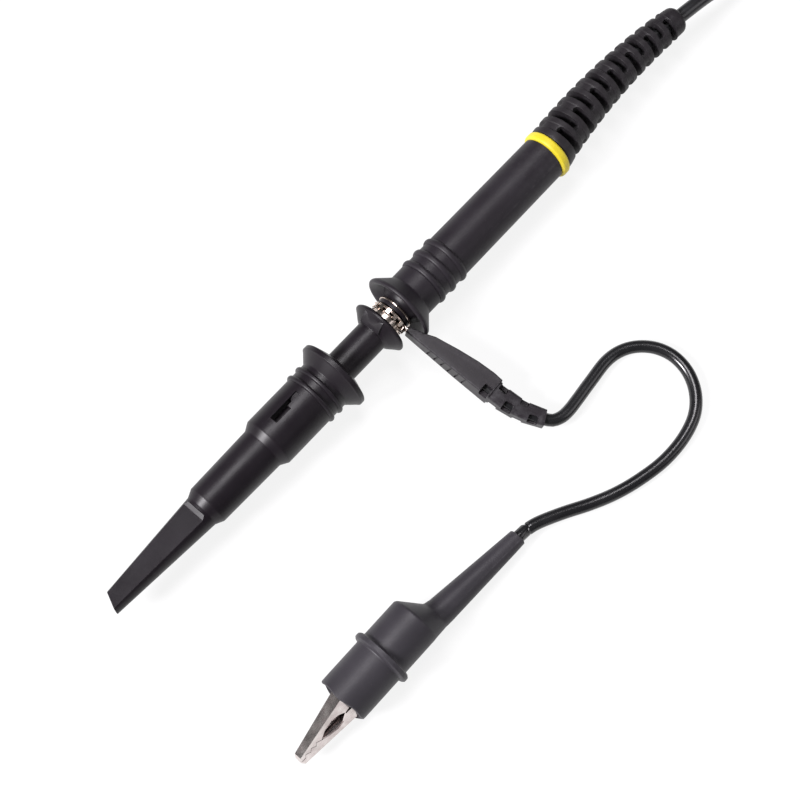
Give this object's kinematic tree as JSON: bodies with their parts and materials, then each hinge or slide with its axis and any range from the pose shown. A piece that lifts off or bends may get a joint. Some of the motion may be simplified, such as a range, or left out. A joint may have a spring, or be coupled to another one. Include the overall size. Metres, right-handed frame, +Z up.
{
  "type": "oscilloscope probe",
  "caption": "Passive high-voltage test probe with sliding hook tip, clip-on ground lead with crocodile clip, slotted cable boot, coiled coaxial cable, compensation box and BNC plug.",
  "frame": {"origin": "middle of the probe and its ground clip, seen from above, on the bench that the probe lies on; the cables, the crocodile clip, the compensation box and the plug are left out", "axes": "+Z up from the bench; +X along the probe from the hook tip towards the cable, level; +Y away from the side where the ground clip hangs"},
  "size_m": [0.325, 0.1212, 0.0208],
  "materials": {
    "hook_black": "satin",
    "barrel_black": "satin",
    "handle_black": "matte",
    "ring_yellow": "satin",
    "cable_black": "satin",
    "lead_black": "glossy",
    "box_black": "matte",
    "housing_black": "satin",
    "cover_grey": "matte",
    "nickel": "satin",
    "steel": "satin",
    "gold": "polished",
    "spring_steel": "satin",
    "board_green": "matte",
    "resistor_blue": "glossy",
    "ceramic": "matte",
    "white_insulator": "satin"
  },
  "bodies": {
    "root": {"ground_collar": "nickel", "insulator": "white_insulator", "contact_needle": "gold", "shield_tube": "nickel", "circuit_board": "board_green", "divider_resistor": "resistor_blue", "tip_capacitor": "ceramic", "handle_shell": "handle_black", "color_ring": "ring_yellow", "cable_boot": "handle_black", "boot_cable": "cable_black", "crimp_ferrule": "nickel", "cable_run": "cable_black", "cable_coil": "cable_black", "coil_tie": "cable_black", "cable_tail": "cable_black", "box_boot": "handle_black", "box_base": "box_black", "box_cover": "box_black", "box_board": "board_green", "trimmer_body": "ceramic", "box_screws": "steel", "bnc_body": "nickel", "bnc_washer": "spring_steel", "bnc_insulator": "white_insulator", "bnc_pin": "gold"},
    "hook_barrel": {"hook_barrel": "barrel_black", "hook_wire": "gold", "hook_spring": "spring_steel", "contact_socket": "gold"},
    "hook_sleeve": {"hook_sleeve": "hook_black"},
    "ground_clip": {"clip_contact": "nickel", "clip_housing": "housing_black", "clip_relief": "housing_black", "ground_lead": "lead_black", "croc_cover": "cover_grey", "fixed_jaw": "steel", "jaw_pin": "steel", "jaw_spring": "spring_steel", "lead_crimp": "nickel"},
    "moving_jaw": {"moving_jaw": "steel"},
    "bnc_collar": {"bnc_collar": "nickel"},
    "trimmer": {"trimmer_screw": "gold"}
  },
  "joints": [
    {"name": "hook_turn", "type": "hinge", "parent": "root", "child": "hook_barrel", "pos_m": [-0.05219, 0.0192, 0.0104], "axis": [1, 0, 0], "continuous": true},
    {"name": "sleeve_slide", "type": "slide", "parent": "hook_barrel", "child": "hook_sleeve", "axis": [1, 0, 0], "range_m": [0, 0.0068], "stiffness_N_per_m": 300, "springref_m": -0.007, "deforming": ["hook_spring"]},
    {"name": "ground_clip_swivel", "type": "hinge", "parent": "root", "child": "ground_clip", "pos_m": [-0.00865, 0.0192, 0.0104], "axis": [1, 0, 0], "continuous": true},
    {"name": "crocodile_open", "type": "hinge", "parent": "ground_clip", "child": "moving_jaw", "pos_m": [-0.0812, -0.03916, 0.00798], "axis": [0, 0.7934, -0.6088], "range_deg": [0, 18], "stiffness_Nm_per_rad": 0.02, "springref_deg": -57.3, "deforming": ["jaw_spring", "croc_cover"]},
    {"name": "bnc_collar_turn", "type": "hinge", "parent": "root", "child": "bnc_collar", "pos_m": [0.13569, -0.08069, 0.0073], "axis": [-0.8661, -0.4998, 0], "continuous": true},
    {"name": "trimmer_turn", "type": "hinge", "parent": "root", "child": "trimmer", "pos_m": [0.16037, -0.06644, 0.0073], "axis": [0, 0, 1], "continuous": true}
  ]
}
